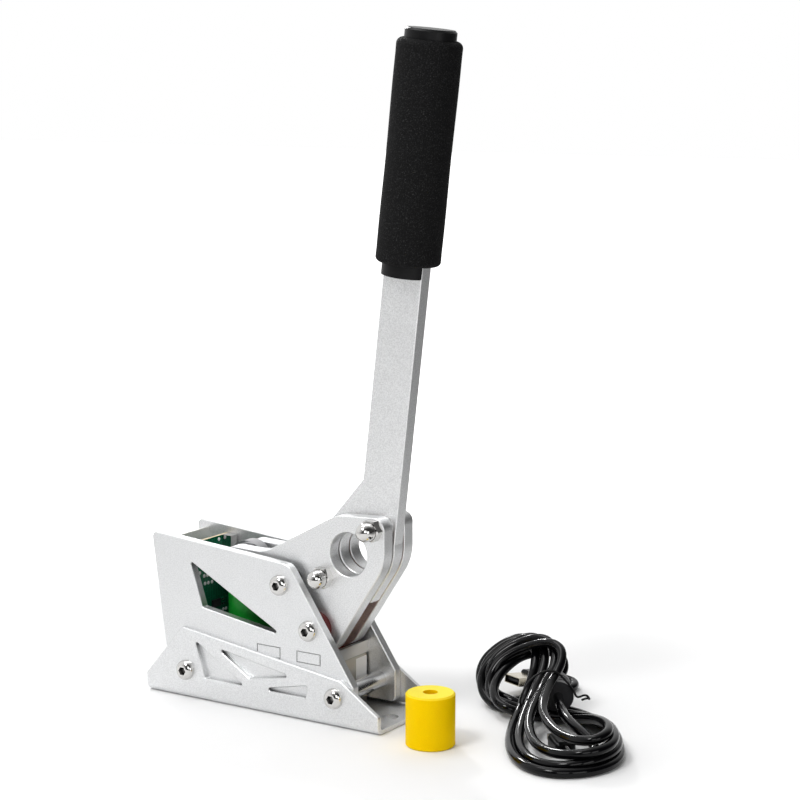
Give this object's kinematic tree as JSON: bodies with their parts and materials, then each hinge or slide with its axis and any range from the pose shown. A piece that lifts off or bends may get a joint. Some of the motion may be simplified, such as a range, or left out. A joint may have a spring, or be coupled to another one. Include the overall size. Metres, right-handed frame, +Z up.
{
  "type": "sim racing handbrake",
  "caption": "Upright load-cell handbrake: foam-gripped lever on bolted side plates over a bent metal base, with a roller, plunger and soft column that press on the sensor.",
  "frame": {"origin": "middle of the base's underside, halfway between its two mounting holes", "axes": "+Z up, +X along the base towards the open front end, the lever is pulled towards -X"},
  "size_m": [0.2717, 0.1318, 0.3434],
  "materials": {
    "anodised": "satin, bead-blasted and clear anodised",
    "machined": "satin, machined",
    "steel_bright": "polished stainless",
    "steel": "fine turned",
    "zinc": "bright zinc",
    "bronze": "oiled sintered bronze",
    "red_rubber": "matte",
    "green_rubber": "satin",
    "yellow_rubber": "satin",
    "black_rubber": "matte",
    "foam": "closed-cell sponge",
    "grip_plastic": "fine grained",
    "board": "solder mask over glass fibre",
    "chip": "moulded",
    "connector": "moulded",
    "label": "blank film",
    "wire": "smooth jacket",
    "seal": "smooth"
  },
  "bodies": {
    "base": {"base_channel": "anodised", "side_plate_right": "anodised", "side_plate_left": "anodised", "rear_panel": "anodised", "front_standoff": "machined", "rear_standoff": "machined", "pivot_tube": "steel", "stop_tube": "steel", "stop_sleeves": "black_rubber", "thrust_washers": "red_rubber", "flange_screws": "steel_bright", "plate_screws": "steel_bright", "load_cell": "machined", "cell_spacer": "machined", "cell_screws": "steel", "cell_label": "label", "rest_bar": "machined", "rest_bar_screws": "steel", "rest_pad": "red_rubber", "elastomer_seat": "machined", "elastomer": "green_rubber", "spare_elastomer": "yellow_rubber", "controller_board": "board", "board_posts": "zinc", "board_screws": "zinc", "usb_socket": "zinc", "usb_tongue": "chip", "board_chips": "chip", "board_passives": "chip", "board_connector": "connector", "cell_wire": "wire", "lead_hank": "wire", "ferrite_core": "grip_plastic", "large_plug": "wire", "small_plug": "wire", "large_plug_shell": "zinc", "small_plug_shell": "zinc"},
    "lever": {"cheek_plate_right": "anodised", "cheek_plate_left": "anodised", "lever_bar": "anodised", "cheek_bolts": "steel_bright", "dome_nuts": "steel_bright", "cheek_shims": "steel", "pivot_bushes": "bronze", "pivot_spacer": "machined", "roller_inner_ring": "steel", "roller_spacers": "steel", "roller_pin": "steel", "roller_clips": "steel", "grip_core_right": "grip_plastic", "grip_core_left": "grip_plastic", "grip_screws": "steel", "grip_cap": "grip_plastic", "foam_grip": "foam"},
    "roller": {"roller_outer_ring": "steel", "roller_seals": "seal"},
    "plunger": {"plunger": "machined"}
  },
  "joints": [
    {"name": "lever_pull", "type": "hinge", "parent": "base", "child": "lever", "pos_m": [0.0296, 0, 0.0463], "axis": [0, -1, 0], "range_deg": [0, 8], "stiffness_Nm_per_rad": 30},
    {"name": "plunger_slide", "type": "slide", "parent": "base", "child": "plunger", "axis": [0, 0, -1], "range_m": [0, 0.0075], "deforming": ["elastomer"]},
    {"name": "roller_spin", "type": "hinge", "parent": "lever", "child": "roller", "pos_m": [-0.0215, 0, 0.0718], "axis": [0, -1, 0], "continuous": true}
  ],
  "couplings": [
    {"joint": "plunger_slide", "follows": "lever_pull", "m_per_rad": 0.0527}
  ]
}
